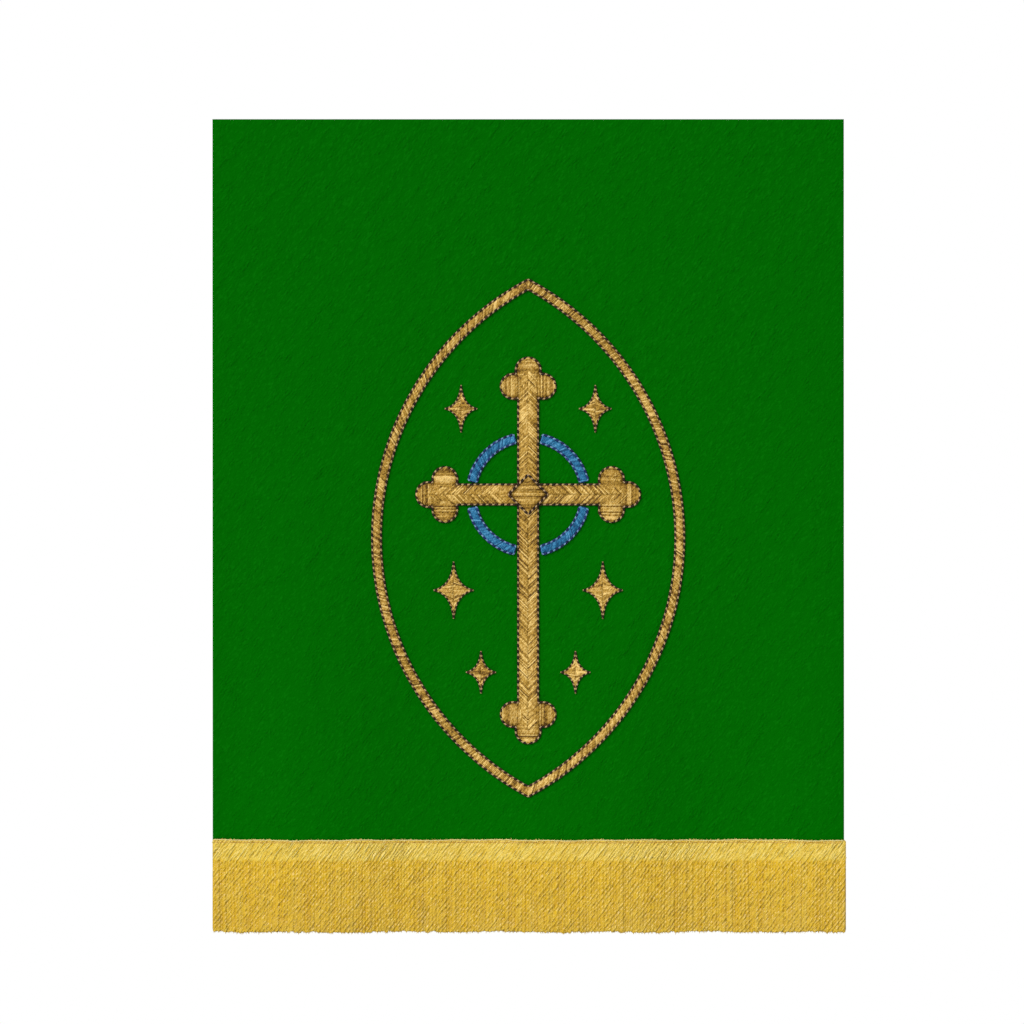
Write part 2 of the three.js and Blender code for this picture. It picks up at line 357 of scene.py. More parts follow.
# Colours as the eye sees them, with the tones at which they are reached
CLOTH_COLOURS = ((0.3, (0, 96, 0)), (0.58, (0, 97, 0)), (0.74, (3, 104, 3)))
FRINGE_COLOURS = (
    (0.30, (192, 146, 0)),
    (0.45, (221, 179, 20)),
    (0.58, (230, 199, 76)),
    (0.72, (246, 226, 132)),
)
FRINGE_TAN = (205, 175, 70)
TAN_STARTS = 0.42
TAN_ENDS = 1.1
YARN_TONES = (0.38, 0.5, 0.62)

# Relief of each finish, and the pitch of the weave
WEAVE_RELIEF = 3.5
WEAVE_PITCH = 0.8
WARP_RELIEF = 0.06
WEFT_RELIEF = 0.04
YARN_RELIEF = 0.8
CRIMP_RELIEF = 2.8


def cloth_finish():
    """Matt cloth with pale flecks, and a slanting weave whose relief comes and goes in patches."""
    finish = Finish("green_cloth", roughness=0.95, gloss=0.03)
    flecks = finish.noise((1.1, 1.6, 3.2), tilt=GRAIN_TILT, detail=0)
    mottle = finish.noise((26, 26, 40), tilt=GRAIN_TILT)
    finish.colours(finish.mixed(flecks, mottle, share=0.05), CLOTH_COLOURS)
    streaks = finish.noise((1.5, 2.2, 5.6), tilt=GRAIN_TILT, detail=0.5)
    weave = finish.mixed(streaks, finish.noise((1.6, 1.6, 1.6), detail=0.5), share=0.5)
    patches = finish.noise((9, 9, 14), tilt=GRAIN_TILT, detail=1)
    finish.bump(finish.product(weave, finish.product(patches, patches)), WEAVE_RELIEF)
    finish.bump(finish.ribs(WEAVE_PITCH, GRAIN_TILT), WARP_RELIEF)
    finish.bump(finish.ribs(WEAVE_PITCH, GRAIN_TILT - 90), WEFT_RELIEF)
    return finish.material


def yarn_finish(name, gloss, *colours):
    """Spun yarn: a shade for each thread, patches along the piece, and fine slanting grains."""
    finish = Finish(name, roughness=0.45, gloss=gloss, sheen=0.02)
    grains = finish.noise((0.9, 0.9, 2.2), tilt=GRAIN_TILT, detail=2)
    patches = finish.noise((14, 14, 28), detail=2)
    tone = finish.mixed(finish.mixed(finish.shade(), patches, share=0.25), grains, share=0.42)
    finish.colours(tone, list(zip(YARN_TONES, colours)))
    finish.bump(grains, YARN_RELIEF)
    return finish.material


def fringe_finish():
    """Soft rayon yarn: slanting crimp relief that runs from yarn to yarn and also darkens the colour in its
    hollows and pales it on its crests, as painted shade and highlight, and locks that turn tan to the foot.
    """
    finish = Finish("fringe_yarn", roughness=0.32, gloss=0.45, sheen=0.03)
    grains = finish.noise((1.8, 3, 8), tilt=GRAIN_TILT, detail=1.5, roughness=0.7)
    wide_ribs = finish.ribs(3.2, GRAIN_TILT, unevenness=4)
    narrow_ribs = finish.ribs(2.3, GRAIN_TILT, unevenness=4)
    crimp_relief_and_painted_shade = finish.mixed(grains, finish.mixed(wide_ribs, narrow_ribs, share=0.5), share=0.25)
    # Painted shade and highlight: the same crimp relief darkens the colour in its hollows and pales it on
    # its crests
    finish.colours(finish.mixed(finish.shade(), crimp_relief_and_painted_shade, share=0.4), FRINGE_COLOURS)
    locks = finish.noise((4.5, 4.5, 40), detail=2)
    locks_and_foot = finish.mixed(locks, finish.down(HEADING_BOTTOM, FALL_DROP), share=0.17)
    finish.tint(finish.ranged(locks_and_foot, TAN_STARTS, TAN_ENDS), FRINGE_TAN)
    finish.bump(crimp_relief_and_painted_shade, CRIMP_RELIEF)
    return finish.material


GREEN_CLOTH = cloth_finish()
FRINGE_YARN = fringe_finish()

# Threads, each with its gloss, and its dark, middle and pale colour as the eye sees them
YARN_COLOURS = {
    "green_thread": (0.25, (4, 84, 10), (10, 112, 20), (30, 136, 40)),
    "gold_thread": (0.28, (94, 62, 0), (193, 151, 56), (255, 221, 138)),
    "brown_thread": (0.2, (22, 10, 2), (36, 18, 6), (64, 36, 16)),
    "tan_thread": (0.25, (146, 116, 78), (178, 148, 106), (206, 176, 134)),
    "blue_thread": (0.25, (16, 76, 118), (38, 120, 166), (92, 168, 210)),
    "navy_thread": (0.2, (8, 18, 56), (16, 34, 88), (38, 60, 120)),
    "pale_blue_thread": (0.25, (84, 112, 160), (112, 146, 190), (150, 180, 214)),
    "binding_thread": (0.25, (196, 146, 56), (214, 168, 72), (228, 184, 92)),
    "selvedge_thread": (0.3, (222, 196, 116), (236, 214, 142), (248, 232, 172)),
}
YARNS = {name: yarn_finish(name, *look) for name, look in YARN_COLOURS.items()}

# Finishes of each piece that has more than one, and the places of the others after its main one
CLOTH = (GREEN_CLOTH, YARNS["green_thread"])
SEWING_THREAD = 1
GOLD = (YARNS["gold_thread"], YARNS["brown_thread"], YARNS["tan_thread"])
BLUE = (YARNS["blue_thread"], YARNS["navy_thread"], YARNS["pale_blue_thread"])
DARK_THREAD = 1
PALE_THREAD = 2
HEADING = (FRINGE_YARN, YARNS["binding_thread"], YARNS["selvedge_thread"])
BINDING_THREAD = 1
SELVEDGE_THREAD = 2


# Cloth

CLOTH_GRID = 3.0
EDGE_ROUND = 1.4
EDGE_LINES = (0, 0.18, 0.5, 1)
EDGE_FULLNESS = 0.3
HEM_WIDTH = 24
HEM_STEP = 0.9
HEM_SLOPE = 1.5
HEM_LINES = 8

# Stitches on the back: their thickness and arch, and the pitch and place of each kind
BACK_STITCH = Values(half_width=0.4, half_height=0.3, arch=0.35, steps=4)
HEM_STITCH = Values(pitch=7.0, start=4, half_length=1.8, lean=2.2, lift=0.5)
MITRE_STITCH = Values(pitch=3.0, start=2.5, end=1, half_length=0.8)
SEAM_STITCH = Values(pitch=4.2, start=5, end=6, length=3.1)
SEAM_DROPS = (HEADING_TOP + 2.5, PANEL_DROP - 3.5)


def grid_lines(length):
    """Places of grid lines over a length of cloth, close together at its edges and at the hem's step."""
    edge = EDGE_ROUND * np.array(EDGE_LINES)
    hem = np.linspace(EDGE_ROUND, HEM_WIDTH, HEM_LINES)[1:]
    near = np.concatenate([edge, hem, [HEM_WIDTH + HEM_SLOPE]])
    inner = np.linspace(near[-1], length - near[-1], round(length / CLOTH_GRID))[1:-1]
    return np.concatenate([near, inner, length - near[::-1]])


def make_cloth():
    """The sheet of cloth, thinner at its turned edges and thicker over its hems."""
    across = grid_lines(PANEL_WIDTH)[None, :] - PANEL_WIDTH / 2
    drop = grid_lines(PANEL_DROP)[:, None]
    from_edge = np.minimum(PANEL_WIDTH / 2 - np.abs(across), np.minimum(drop, PANEL_DROP - drop))
    on_hem = 1 - np.clip((from_edge - HEM_WIDTH) / HEM_SLOPE, 0, 1)
    turned = 1 - np.clip(from_edge / EDGE_ROUND, 0, 1)
    fullness = EDGE_FULLNESS + (1 - EDGE_FULLNESS) * np.sqrt(1 - turned ** 2)
    middle = hang(across, drop)
    front = middle - fullness * CLOTH_THICKNESS / 2
    back = middle + fullness * (CLOTH_THICKNESS / 2 + HEM_STEP * on_hem)
    heap = Heap()
    heap.add(closed_grid(stacked(across, front, -drop), stacked(across, back, -drop)))
    return heap


def back_stitches(heap, starts, ends, lift, finish=SEWING_THREAD):
    """Short sewing stitches on the back of the cloth, between places given across and by drop."""
    share = np.linspace(0, 1, BACK_STITCH.steps)[None, :, None]
    flat = starts[:, None] + (ends - starts)[:, None] * share
    arch = lift + BACK_STITCH.arch * np.sin(np.pi * share[..., 0])
    depth = hang(flat[..., 0], flat[..., 1]) + CLOTH_THICKNESS / 2 + arch
    centres = stacked(flat[..., 0], depth, -flat[..., 1])
    heap.add(threads(centres, BACK_STITCH, facing=-TOWARDS_VIEWER), finish, chance.random(len(starts)))


def sew_hems(heap):
    """Blind stitches along the inner edge of each hem."""
    inset = HEM_WIDTH + HEM_SLOPE / 2
    right = PANEL_WIDTH / 2 - inset
    foot = PANEL_DROP - inset
    half = HEM_STITCH.half_length
    lean = HEM_STITCH.lean
    down = np.arange(inset + HEM_STITCH.start, foot, HEM_STITCH.pitch)
    along = np.arange(-right + HEM_STITCH.start, right, HEM_STITCH.pitch)
    for side, inward in ((-right, 1), (right, -1)):
        starts = stacked(side - inward * half, down)
        back_stitches(heap, starts, starts + [2 * inward * half, lean], HEM_STITCH.lift)
    for edge, inward in ((inset, 1), (foot, -1)):
        starts = stacked(along, edge - inward * half)
        back_stitches(heap, starts, starts + [lean, 2 * inward * half], HEM_STITCH.lift)


def sew_mitres(heap):
    """Stitches across the mitred corners of the hems."""
    half = MITRE_STITCH.half_length
    mitre = np.arange(MITRE_STITCH.start, HEM_WIDTH - MITRE_STITCH.end, MITRE_STITCH.pitch)
    for side in (-1, 1):
        for edge, inward in ((0, 1), (PANEL_DROP, -1)):
            across = side * (PANEL_WIDTH / 2 - mitre - half)
            starts = stacked(across, edge + inward * (mitre - half))
            ends = starts + [2 * side * half, 2 * inward * half]
            back_stitches(heap, starts, ends, HEM_STEP)


def sew_seams(heap):
    """The seams that hold the fringe."""
    left = -PANEL_WIDTH / 2 + SEAM_STITCH.start
    right = PANEL_WIDTH / 2 - SEAM_STITCH.end
    seam = np.arange(left, right, SEAM_STITCH.pitch)
    for drop in SEAM_DROPS:
        starts = stacked(seam, drop)
        back_stitches(heap, starts, starts + [SEAM_STITCH.length, 0], HEM_STEP)


# Device: a pointed oval band around a cross with trefoil ends, ring quarters and stars

DEVICE_DROP = 337
OVAL = Values(half_width=122, half_height=204, band=7)
CROSS = Values(above=110, below=200, reach=90, up=35, bar=16)
ARMS = (((0, 1), CROSS.above), ((0, -1), CROSS.below), ((1, 0), CROSS.reach), ((-1, 0), CROSS.reach))
CROSSING = np.array([0, CROSS.up])
LOBE = Values(radius=10, spread=12, back=13)
RING = Values(radius=46, band=7, clear=2)
Star = namedtuple("Star", "across up half_width half_height")
STARS = (Star(54, 104, 13, 19), Star(60, -42, 16, 23), Star(38, -108, 12, 17))
STAR_WAIST = 0.12
FOUR_WAYS = np.array([(0, 1), (1, 0), (0, -1), (-1, 0)])
UPRIGHT = np.array([0, 1])

# Satin stitches: pitch, slant along a band, and the length that a star's spread over, in its half heights
STITCH_PITCH = 1.15
STITCH_STEPS = 7
SLANT = 4.5
STAR_SIDE = 1.15

# Their threads, which darken towards their ends as painted shade where the pad falls away, and the pad under
# them
THREAD = Values(half_width=0.62, half_height=0.4, foot=0.3, unevenness=0.09)
THREAD_TONE_AND_PAINTED_SHADE = Values(spread=0.11, ends=0.2, power=4)
# Painted shade: the pad's shade is darker than the threads', where it shows between them
PAD = Values(height=1.5, rise=0.24, roundness=2.4, sink=0.12, shade=0.35)
ARM_RAISE = 0.5
BOSS_RAISE = 0.4

# Edging: a pale thread, dark stitches that wrap slantwise over a share of it, and their back
EDGING = Values(thread=0.7, step=0.8, lift=0.9, pitch=4.8)
WRAP = Values(radius=1.15, cover=0.62, slant=0.5, shade_spread=0.12)
WRAP_PROFILE = np.array([0.6, 0.95, 1, 0.95, 0.6])
EDGING_BACK = Values(share=0.55, lift=0.1)
BOSS_EDGING_LIFT = 2.8
STAR_EDGING_GIRTH = 0.75

# Points along a line of an outline, a side of an arm and a run too short to edge, and steps in an edging
LINE_POINTS = 240
SIDE_POINTS = 400
BARE_RUN = 4
FEWEST_STEPS = 4


# Device stitching, on places given across and up from the device's centre

def on_device(flat, lift):
    return on_face(flat[..., 0], DEVICE_DROP - flat[..., 1], lift)


def pad_height(length):
    """Height of the padding under a stitch that spans the given width."""
    return np.minimum(PAD.height, PAD.rise * length)


def stitched(heap, starts, ends, crest, raised=0.0):
    """Satin stitches side by side over a pad. crest is where along a stitch the pad is highest, 0 or 0.5."""
    length = np.linalg.norm(ends - starts, axis=-1)
    share = np.linspace(0, 1, STITCH_STEPS)
    from_crest = np.abs(share - crest) / (1 - crest)
    dome = 1 - from_crest ** PAD.roundness
    height = pad_height(length / (1 - crest) / 2)
    lift = THREAD.foot + np.reshape(raised, (-1, 1)) + height[:, None] * dome
    flat = starts[:, None] + (ends - starts)[:, None] * share[:, None]
    # Painted shade: a darker pad, where it shows between the threads
    heap.add(closed_grid(on_device(flat, lift - PAD.sink), on_device(flat, 0)), shade=PAD.shade)
    uneven = THREAD.unevenness * chance.standard_normal((len(starts), 1))
    tubes = threads(on_device(flat, lift + uneven), THREAD)
    shade = MIDDLE_SHADE + THREAD_TONE_AND_PAINTED_SHADE.spread * chance.standard_normal((len(starts), 1))
    # Painted shade: each thread darkens towards its ends, away from the crest of the pad
    heap.add(tubes, shade=shade - THREAD_TONE_AND_PAINTED_SHADE.ends * from_crest ** THREAD_TONE_AND_PAINTED_SHADE.power)


def middles(count):
    """Shares at the middles of equal parts."""
    return (np.arange(count) + 0.5) / count


def across_band(left, right, length, slant):
    """Starts and ends of stitches across a band, whose edges are functions of a share of its length."""
    count = round((length + slant) / STITCH_PITCH)
    shift = slant / length / 2
    share = (1 + 2 * shift) * middles(count) - shift
    return left(np.clip(share - shift, 0, 1)), right(np.clip(share + shift, 0, 1))


def resampled(outline, step):
    """Even points along an open line, about a step apart, and their distances along it."""
    gaps = np.linalg.norm(np.diff(outline, axis=0), axis=-1)
    distance = np.concatenate([[0], np.cumsum(gaps)])
    count = max(FEWEST_STEPS, round(distance[-1] / step))
    even = np.linspace(0, distance[-1], count + 1)
    return np.stack([np.interp(even, distance, outline[:, axis]) for axis in (0, 1)], axis=-1), even


def edged(heap, runs, lift=EDGING.lift, girth=1.0):
    """A pale thread along each open line, with dark stitches over it that show on the back too."""
    radius = girth * EDGING.thread
    for run in runs:
        flat, distance = resampled(run, EDGING.step)
        middle = on_device(flat, lift)
        side, up = frames(middle)
        heap.add(sweep(middle[None], radius * side[None], radius * up[None], SIX_SIDED), PALE_THREAD)
        wrap(heap, middle, distance, girth)
        sewn = resampled(run, EDGING.pitch)[0] * [1, -1] + [0, DEVICE_DROP]
        ends = sewn[:-1] + EDGING_BACK.share * np.diff(sewn, axis=0)
        back_stitches(heap, sewn[:-1], ends, EDGING_BACK.lift, PALE_THREAD)


def wrap(heap, middle, distance, girth):
    """Dark stitches that wrap over a thread, evenly along it."""
    count = max(1, round(distance[-1] / (girth * EDGING.pitch)))
    within = WRAP.cover * np.linspace(-0.5, 0.5, len(WRAP_PROFILE))
    along = distance[-1] * (middles(count)[:, None] + within / count)
    centres = np.stack([np.interp(along, distance, middle[:, axis]) for axis in range(3)], axis=-1)
    side, up = frames(centres)
    slanted = side + WRAP.slant * np.cross(side, up)
    radius = girth * WRAP.radius * WRAP_PROFILE[:, None]
    shade = MIDDLE_SHADE + WRAP.shade_spread * chance.standard_normal(count)
    heap.add(sweep(centres, radius * slanted, radius * up, SIX_SIDED), DARK_THREAD, shade)


def arc(centre, radius, start, end):
    """A function from a share to points along an arc."""
    def at(share):
        angle = start + (end - start) * np.asarray(share)
        return stacked(centre[0] + radius * np.cos(angle), centre[1] + radius * np.sin(angle))
    return at


def straight(start, end):
    """A function from a share to points along a straight line."""
    first = np.array(start, float)
    last = np.array(end, float)
    return lambda share: first + (last - first) * np.asarray(share)[..., None]


def hollow(centre, first, last):
    """A function from a share to points along the hollow side of a star, from one tip to the next."""
    waist = (first + last) * STAR_WAIST

    def at(share):
        s = np.asarray(share)[..., None]
        return centre + (1 - s) ** 2 * first + 2 * s * (1 - s) * waist + s ** 2 * last
    return at


def neighbours(corners):
    """Each corner of a closed shape with the next one."""
    return list(zip(corners, np.roll(corners, -1, axis=0)))


def traced(*lines):
    """Points along lines that are functions of a share, as separate runs."""
    return [line(np.linspace(0, 1, LINE_POINTS)) for line in lines]


def oval_stitching():
    heap = Heap()
    radius = (OVAL.half_width ** 2 + OVAL.half_height ** 2) / (2 * OVAL.half_width)
    offset = radius - OVAL.half_width
    length = 2 * radius * math.acos(offset / radius)
    for side, middle in ((-1, math.pi), (1, 0)):
        edges = []
        for arc_radius in (radius + OVAL.band / 2, radius - OVAL.band / 2):
            half = math.acos(offset / arc_radius)
            edges.append(arc((-side * offset, 0), arc_radius, middle - half, middle + half))
        stitched(heap, *across_band(*edges, length, SLANT), crest=0.5)
        edged(heap, traced(*edges))
    return heap


# The cross is made of shapes that overlap. Each is an outline, and a function that is below zero inside it

def left_of(direction):
    return np.array([-direction[1], direction[0]])


def outside_box(low, high):
    return lambda points: np.max(np.maximum(low - points, points - high), axis=-1)


def outside_disc(centre, radius):
    return lambda points: np.linalg.norm(points - centre, axis=-1) - radius


def shown_runs(outline, others):
    """Stretches of a closed outline that lie outside all of the other shapes."""
    shown = np.all([outside(outline) > 0 for outside in others], axis=0)
    first_hidden = int(np.argmin(shown))
    outline = np.roll(outline, -first_hidden, axis=0)
    shown = np.roll(shown, -first_hidden)
    changes = np.flatnonzero(np.diff(shown.astype(int))) + 1
    stops = [*changes, len(outline)]
    return [outline[begin:end] for begin, end in zip(stops[::2], stops[1::2]) if end - begin > BARE_RUN]


def stitch_arm(heap, direction, end):
    """An arm of the cross in two halves, whose stitches meet along its axis, as a shape."""
    half = CROSS.bar / 2
    sideways = left_of(direction)
    axis = straight(CROSSING + 2 * half * direction, CROSSING + direction * end)
    for side in (-half, half):
        start = CROSSING + direction * half + side * sideways
        edge = straight(start, CROSSING + direction * (end - half) + side * sideways)
        stitched(heap, *across_band(axis, edge, end - 2 * half, 0), crest=0, raised=ARM_RAISE)
    far = direction * end
    wide = half * sideways
    corners = CROSSING + np.array([wide, far + wide, far - wide, -wide])
    places = np.linspace(0, 1, SIDE_POINTS, endpoint=False)
    outline = np.concatenate([straight(*pair)(places) for pair in neighbours(corners)])
    return outline, outside_box(corners.min(axis=0), corners.max(axis=0))


def lobe_places(direction, length):
    """The centre of each lobe of an arm, from the crossing, and the way that it points."""
    sideways = left_of(direction)
    inner = direction * (length - LOBE.radius - LOBE.back)
    tip = direction * (length - LOBE.radius)
    spread = LOBE.spread * sideways
    return [(tip, direction), (inner - spread, -sideways), (inner + spread, sideways)]


def stitch_lobe(heap, centre, outward):
    """A disc of parallel stitches, square to the way that it points, as a shape."""
    radius = LOBE.radius
    offset = radius * (2 * middles(round(2 * radius / STITCH_PITCH)) - 1)
    chord = np.sqrt(radius ** 2 - offset ** 2)[:, None] * left_of(outward)
    middle = centre + offset[:, None] * outward
    stitched(heap, middle - chord, middle + chord, crest=0.5)
    circle = arc(centre, radius, 0, 2 * math.pi)
    return circle(np.linspace(0, 1, LINE_POINTS, endpoint=False)), outside_disc(centre, radius)


def stitch_crossing(heap, reach):
    """A diamond of level stitches over the place where the arms meet."""
    up = reach * (2 * middles(round(2 * reach / STITCH_PITCH)) - 1)
    half_width = reach - np.abs(up)
    left = CROSSING + stacked(-half_width, up)
    right = CROSSING + stacked(half_width, up)
    levelled = ARM_RAISE + BOSS_RAISE + PAD.height - pad_height(2 * half_width)
    stitched(heap, left, right, crest=0.5, raised=levelled)
    tips = CROSSING + reach * np.array([(1, 0), (0, 1), (-1, 0), (0, -1)])
    sides = [straight(*pair) for pair in neighbours(tips)]
    edged(heap, traced(*sides), lift=BOSS_EDGING_LIFT)


def cross_stitching():
    heap = Heap()
    shapes = []
    for way, length in ARMS:
        direction = np.array(way, float)
        shapes.append(stitch_arm(heap, direction, length - LOBE.radius))
        for centre, outward in lobe_places(direction, length):
            shapes.append(stitch_lobe(heap, CROSSING + centre, outward))
    for outline, own in shapes:
        others = [outside for _, outside in shapes if outside is not own]
        edged(heap, shown_runs(outline, others))
    stitch_crossing(heap, CROSS.bar)
    return heap


def ring_stitching(quarter):
    heap = Heap()
    clear = math.asin((CROSS.bar / 2 + RING.clear) / (RING.radius - RING.band / 2))
    start = quarter * math.pi / 2 + clear
    end = (quarter + 1) * math.pi / 2 - clear
    outer, inner = (arc(CROSSING, RING.radius + side * RING.band / 2, start, end) for side in (1, -1))
    stitched(heap, *across_band(outer, inner, RING.radius * (end - start), SLANT), crest=0.5)
    ends = [straight(outer(share), inner(share)) for share in (0.0, 1.0)]
    edged(heap, traced(outer, inner, *ends))
    return heap


def star_stitching(star, side):
    """A star of four points: stitches fan from its upright axis to its hollow sides."""
    heap = Heap()
    centre = np.array([side * star.across, star.up])
    tips = FOUR_WAYS * [star.half_width, star.half_height]
    edges = []
    for first, last in neighbours(tips):
        axis = straight(centre + first * UPRIGHT, centre + last * UPRIGHT)
        edge = hollow(centre, first, last)
        stitched(heap, *across_band(axis, edge, STAR_SIDE * star.half_height, 0), crest=0)
        edges.append(edge)
    edged(heap, traced(*edges), girth=STAR_EDGING_GIRTH)
    return heap


def make_device():
    pieces = [
        oval_stitching().make("oval_band_stitching", "oval_band", "gold_thread", GOLD),
        cross_stitching().make("cross_stitching", "cross", "gold_thread", GOLD),
    ]
    for quarter in range(4):
        node = f"ring_{quarter + 1}"
        pieces.append(ring_stitching(quarter).make(f"{node}_stitching", node, "blue_thread", BLUE))
    for number, star in enumerate(STARS, 1):
        for word, side in (("left", -1), ("right", 1)):
            node = f"star_{word}_{number}"
            pieces.append(star_stitching(star, side).make(f"{node}_stitching", node, "gold_thread", GOLD))
    return pieces


# Fringe

HATCH_SLOPE = math.tan(math.radians(90 - GRAIN_TILT))
HEADING_SHADE = 0.61
SKIRT_SHADE = 0.4

# Slow unevenness of the heading's top edge
EDGE_WAVES = (Wave(0.2, 107), Wave(0.2, 38, shift=2))

# Core behind the heading's yarns, with its lift at shares of its height, and a painted shade that darkens it
# where it shows between the yarns
CORE = Values(
    columns=170, rows=13, top_inset=0.4, overrun=4,
    lift=1.95, foot=0.1, dimming=0.06,
)
CORE_SHARES = (0, 0.1, 0.75, 1)
CORE_LIFTS = (0.7, 1, 1, 0.5)

# Slanting yarns of the heading: how they lie, stray, turn in radians, and dive under at their foot
HEADING_YARN = Values(pitch=2.2, half_width=1.15, half_height=0.28, lift=1.85, steps=14)
HEADING_RUN = HEADING_HEIGHT / HATCH_SLOPE
HEADING_INSET = 0.6
HEADING_LEFT = FRINGE_LEFT + HEADING_INSET
HEADING_RIGHT = FRINGE_RIGHT - HEADING_INSET
HEADING_STRAY = Values(across=0.25, foot=0.5, top=0.15, shade=0.04)
HEADING_SWAY = Values(height=0.45, turn=9, shift=7)
HEADING_TWIST = Values(turn=14, shift=7)
HEADING_DIVE = Values(overlap=1.2, depth=0.6, share=0.16, shade_share=0.03)
TOP_ROUNDING = 16
SHORTEST_YARN = 0.12
REACHES_TOP = 0.99
# Painted light: the frayed fibres at the top are made paler than their yarns, where they would fall into
# shade
TOP_FRAY = Values(reach=1.1, paler=0.25)

# Binding stitches and selvedge thread along the heading's top edge
BINDING = Values(
    half_width=0.35, half_height=0.25, length=3.0, arch=0.3, steps=5,
    pitch=3.6, start=2, end=4, drop=1.9, lift=1.9,
)
SELVEDGE = Values(
    half_width=0.4, half_height=0.4, unevenness=0.1,
    step=1.5, inset=0.5, drop=0.2, lift=1.5,
)

# Rows of strands: their number, section and half width, and how the back row stands behind the front one,
# with painted shade that darkens it there
FRONT_ROW = Values(
    count=205, steps=50, section=FOUR_PLY, half_width=2.0,
    forward=0.0, shorter=0.3, dimming=0.0,
)
BACK_ROW = Values(
    count=180, steps=30, section=THREE_PLY, half_width=1.9,
    forward=-0.8, shorter=1.0, dimming=0.05,
)
STRAND_UNEVENNESS = 0.2
STRAND_FLATNESS = 0.48
STRAND_SQUARENESS = 6
STRAND_STRAY = Values(tip=0.4, lean=0.15, lift=0.05, turn=0.2, shade=0.013)
TIP_WAVE = Values(height=0.5, length=13)

# A strand along its length: its hidden root, its lift from there to the hem, and its tip
ROOT = Values(overlap=2, sink=0.4, share=0.06)
SKIRT_LIFT = Values(root=1.0, hem=1.7, starts=0.02, ends=0.4)
# Painted light: the tips are made paler, where they would fall into shade
TIP = Values(share=0.96, width=0.75, paler=0.15, pale_share=0.95, fray=2.0)
FOOT_DIMMING = 0.07

# Slow sideways lean of the strands, as in the solids
LEAN_WAVES = (Wave(1.1, 145), Wave(0.66, 60, shift=1))

# Slow drift of the strands' twist
TWIST_WAVES = (Wave(0.5, 50, 120), Wave(0.4, 27, -69, 2), Wave(0.3, 195, 33, 1))

# Locks of strands that look a little paler or darker than their neighbours
LOCK_WAVES = (Wave(0.013, 6.7), Wave(0.013, 10.1, shift=1), Wave(0.013, 23, shift=3))

# Loose fibres at the end of a yarn: how they stray and spread, shares of their reach, and their girth
FIBRES = Values(count=4, stray=0.5, root=0.6, shortest=0.7, longest=1.3, spread=0.5)
FIBRE_GIRTH = np.array([0.26, 0.22, 0.08])


def heading_top(across):
    return HEADING_TOP + wave_sum(EDGE_WAVES, across)


def lay_core(heap):
    """A flat core that fills the heading behind its yarns, and runs out under the roots of the strands."""
    across = np.linspace(FRINGE_LEFT, FRINGE_RIGHT, CORE.columns)[None, :]
    rows = np.linspace(0, 1, CORE.rows)[:, None]
    height = HEADING_BOTTOM + CORE.overrun - heading_top(across)
    drop = heading_top(across) + CORE.top_inset + height * rows
    lift = CORE.lift * np.interp(rows, CORE_SHARES, CORE_LIFTS)
    sheet = closed_grid(on_face(across, drop, lift), on_face(across, drop, CORE.foot))
    # Painted shade: the core is darker than the yarns, where it shows in the gaps between them
    heap.add(sheet, shade=HEADING_SHADE - CORE.dimming)


def heading_slants():
    """The foot of each slanting yarn, and the share of its slant at each step of the stretch that shows."""
    pitch = HEADING_YARN.pitch
    foot = np.arange(FRINGE_LEFT - HEADING_RUN + pitch, FRINGE_RIGHT, pitch)
    foot = foot + HEADING_STRAY.across * chance.standard_normal(len(foot))
    first = np.clip((HEADING_LEFT - foot) / HEADING_RUN, 0, 1)
    last = np.clip((HEADING_RIGHT - foot) / HEADING_RUN, 0, 1)
    share = first[:, None] + (last - first)[:, None] * np.linspace(0, 1, HEADING_YARN.steps)
    shown = last - first > SHORTEST_YARN
    return foot[shown, None], share[shown]


def heading_paths(foot, share):
    """Centres of the slanting yarns, from the foot of the heading to its top edge."""
    one_each = (len(foot), 1)
    place = foot + HEADING_RUN * share
    bottom = HEADING_BOTTOM + HEADING_DIVE.overlap
    bottom = bottom + HEADING_STRAY.foot * chance.standard_normal(one_each)
    top = heading_top(place) + HEADING_STRAY.top * chance.standard_normal(one_each)
    drop = bottom + (top - bottom) * share
    rounding = np.sqrt(np.clip(1 - share ** TOP_ROUNDING, 0, 1))
    lift = HEADING_YARN.lift * (1 + rounding) / 2
    lift = lift - HEADING_DIVE.depth * (1 - smoothstep(share, 0, HEADING_DIVE.share))
    turn = HEADING_SWAY.turn * share + HEADING_SWAY.shift * chance.random(one_each)
    place = place + HEADING_SWAY.height * np.sin(turn)
    return on_face(np.clip(place, HEADING_LEFT, HEADING_RIGHT), drop, lift)


def lay_heading_yarns(heap):
    """Flat plied yarns that slant side by side, and fray at the top."""
    foot, share = heading_slants()
    one_each = (len(foot), 1)
    centres = heading_paths(foot, share)
    side, out = frames(centres)
    turn = (HEADING_TWIST.turn * share + HEADING_TWIST.shift * chance.random(one_each))[..., None]
    across = HEADING_YARN.half_width * side
    up = HEADING_YARN.half_height * out
    wide = np.cos(turn) * across + np.sin(turn) * up
    thick = np.cos(turn) * up - np.sin(turn) * across
    shade = HEADING_SHADE + HEADING_STRAY.shade * chance.standard_normal(one_each)
    under = 1 - smoothstep(share, 0, HEADING_DIVE.shade_share)
    shade = shade + (SKIRT_SHADE - HEADING_SHADE) * under
    heap.add(sweep(centres, wide, thick, THREE_PLY), shade=shade)
    whole = share[:, -1] > REACHES_TOP
    # Painted light: the frayed fibres are paler than their yarns
    fray(heap, centres[whole, -1], 1, TOP_FRAY.reach, shade[whole, -1] + TOP_FRAY.paler)


